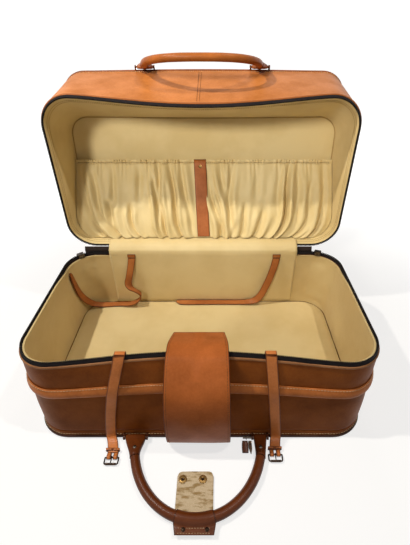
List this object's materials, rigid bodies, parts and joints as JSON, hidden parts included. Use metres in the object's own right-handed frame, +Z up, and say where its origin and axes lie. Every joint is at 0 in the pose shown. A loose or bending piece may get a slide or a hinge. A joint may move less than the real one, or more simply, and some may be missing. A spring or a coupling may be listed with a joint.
{
  "type": "suitcase",
  "caption": "Soft-sided zip-round leather suitcase standing open, with a carrying handle on each half, packing straps, gathered lid pockets and a wide front flap.",
  "frame": {"origin": "centre of the underside of the base half, on the ground", "axes": "+X to the right seen from the front, +Y from the front rim to the hinge, +Z up"},
  "size_m": [0.617, 0.6649, 0.5814],
  "materials": {
    "tan_leather": "satin, fine grain",
    "dark_leather": "satin, fine grain",
    "edge_binding": "satin",
    "zip_tape": "woven, matt",
    "zip_teeth": "semi-matt",
    "cream_lining": "coated cloth, matt",
    "suede": "matt, worn",
    "aged_brass": "aged",
    "dark_metal": "worn"
  },
  "bodies": {
    "base": {"base_shell": "tan_leather", "base_bottom": "dark_leather", "base_welt": "dark_leather", "base_roll": "tan_leather", "base_binding": "edge_binding", "base_tape": "zip_tape", "base_teeth": "zip_teeth", "base_wall_lining": "cream_lining", "base_floor_pad": "cream_lining", "hinge_strip": "tan_leather", "hinge_flap": "cream_lining", "hinge_gussets": "zip_tape", "base_handle_loops": "dark_leather", "base_handle_bars": "aged_brass", "wide_flap": "dark_leather", "rear_strap_tabs": "tan_leather", "front_strap_anchors": "dark_leather"},
    "key": {"key_tab": "dark_leather", "key_tab_ring": "dark_metal"},
    "rear_strap_left": {"rear_strap_left": "dark_leather"},
    "rear_strap_right": {"rear_strap_right": "dark_leather"},
    "front_strap_left": {"front_strap_left": "dark_leather", "front_keeper_left": "dark_leather", "front_buckle_left": "aged_brass"},
    "front_prong_left": {"front_prong_left": "aged_brass"},
    "front_strap_right": {"front_strap_right": "dark_leather", "front_keeper_right": "dark_leather", "front_buckle_right": "aged_brass"},
    "front_prong_right": {"front_prong_right": "aged_brass"},
    "base_handle": {"base_handle_grip": "dark_leather", "base_handle_ends": "dark_leather", "base_handle_rivets": "dark_metal", "handle_sleeve": "dark_leather", "sleeve_studs": "aged_brass"},
    "sleeve_tongue": {"sleeve_tongue": "suede", "tongue_sockets": "aged_brass"},
    "zip_slider_left": {"zip_slider_left": "dark_metal"},
    "zip_slider_right": {"zip_slider_right": "dark_metal"},
    "zip_pull_left": {"zip_pull_left": "dark_metal"},
    "zip_pull_right": {"zip_pull_right": "dark_metal"},
    "lid": {"lid_shell": "tan_leather", "lid_top_panel": "tan_leather", "lid_welt": "dark_leather", "lid_binding": "edge_binding", "lid_tape": "zip_tape", "lid_teeth": "zip_teeth", "lid_wall_lining": "cream_lining", "lid_panel_lining": "cream_lining", "pocket_left": "cream_lining", "pocket_right": "cream_lining", "pocket_elastics": "cream_lining", "pocket_strap": "tan_leather", "pocket_stud": "aged_brass", "lid_handle_loops": "dark_leather", "lid_handle_bars": "aged_brass"},
    "lid_handle": {"lid_handle_grip": "tan_leather", "lid_handle_ends": "tan_leather", "lid_handle_rivets": "dark_metal"}
  },
  "joints": [
    {"name": "lid", "type": "hinge", "parent": "base", "child": "lid", "pos_m": [0, 0.171, 0.183], "axis": [1, 0, 0], "range_deg": [-3, 86], "deforming": ["hinge_strip", "hinge_flap", "hinge_gussets", "wide_flap"]},
    {"name": "lid_handle", "type": "hinge", "parent": "lid", "child": "lid_handle", "pos_m": [0, 0.31545, 0.54129], "axis": [-1, 0, 0], "range_deg": [0, 100]},
    {"name": "base_handle", "type": "hinge", "parent": "base", "child": "base_handle", "pos_m": [0, -0.181, 0.0096], "axis": [-1, 0, 0], "range_deg": [0, 50]},
    {"name": "sleeve_tongue", "type": "hinge", "parent": "base_handle", "child": "sleeve_tongue", "pos_m": [0, -0.307, 0.0096], "axis": [1, 0, 0], "range_deg": [0, 150]},
    {"name": "front_strap_left", "type": "hinge", "parent": "base", "child": "front_strap_left", "pos_m": [-0.126, -0.15055, 0.1781], "axis": [-1, 0, 0], "range_deg": [0, 75]},
    {"name": "front_prong_left", "type": "hinge", "parent": "front_strap_left", "child": "front_prong_left", "pos_m": [-0.147, -0.213, 0.004], "axis": [-1, 0, 0], "range_deg": [0, 60]},
    {"name": "front_strap_right", "type": "hinge", "parent": "base", "child": "front_strap_right", "pos_m": [0.1155, -0.14925, 0.1781], "axis": [-1, 0, 0], "range_deg": [0, 75]},
    {"name": "front_prong_right", "type": "hinge", "parent": "front_strap_right", "child": "front_prong_right", "pos_m": [0.1275, -0.208, 0.004], "axis": [-1, 0, 0], "range_deg": [0, 60]},
    {"name": "rear_strap_left", "type": "hinge", "parent": "base", "child": "rear_strap_left", "pos_m": [-0.165, 0.15258, 0.162], "axis": [-1, 0, 0], "range_deg": [0, 35]},
    {"name": "rear_strap_right", "type": "hinge", "parent": "base", "child": "rear_strap_right", "pos_m": [0.165, 0.15258, 0.162], "axis": [-1, 0, 0], "range_deg": [0, 35]},
    {"name": "zip_slider_left", "type": "hinge", "parent": "base", "child": "zip_slider_left", "pos_m": [-0.241, 0.1035, 0.175], "axis": [0, 0, 1], "range_deg": [0, 50]},
    {"name": "zip_pull_left", "type": "hinge", "parent": "zip_slider_left", "child": "zip_pull_left", "pos_m": [-0.28143, 0.15168, 0.1708], "axis": [0.766, 0.6428, 0], "range_deg": [0, 100]},
    {"name": "zip_slider_right", "type": "hinge", "parent": "base", "child": "zip_slider_right", "pos_m": [0.241, 0.1035, 0.175], "axis": [0, 0, -1], "range_deg": [0, 50]},
    {"name": "zip_pull_right", "type": "hinge", "parent": "zip_slider_right", "child": "zip_pull_right", "pos_m": [0.26044, 0.16332, 0.1708], "axis": [0.9511, -0.309, 0], "range_deg": [0, 100]},
    {"name": "key", "type": "hinge", "parent": "base", "child": "key", "pos_m": [0.08, -0.181, 0.0096], "axis": [-1, 0, 0], "range_deg": [0, 60]}
  ]
}
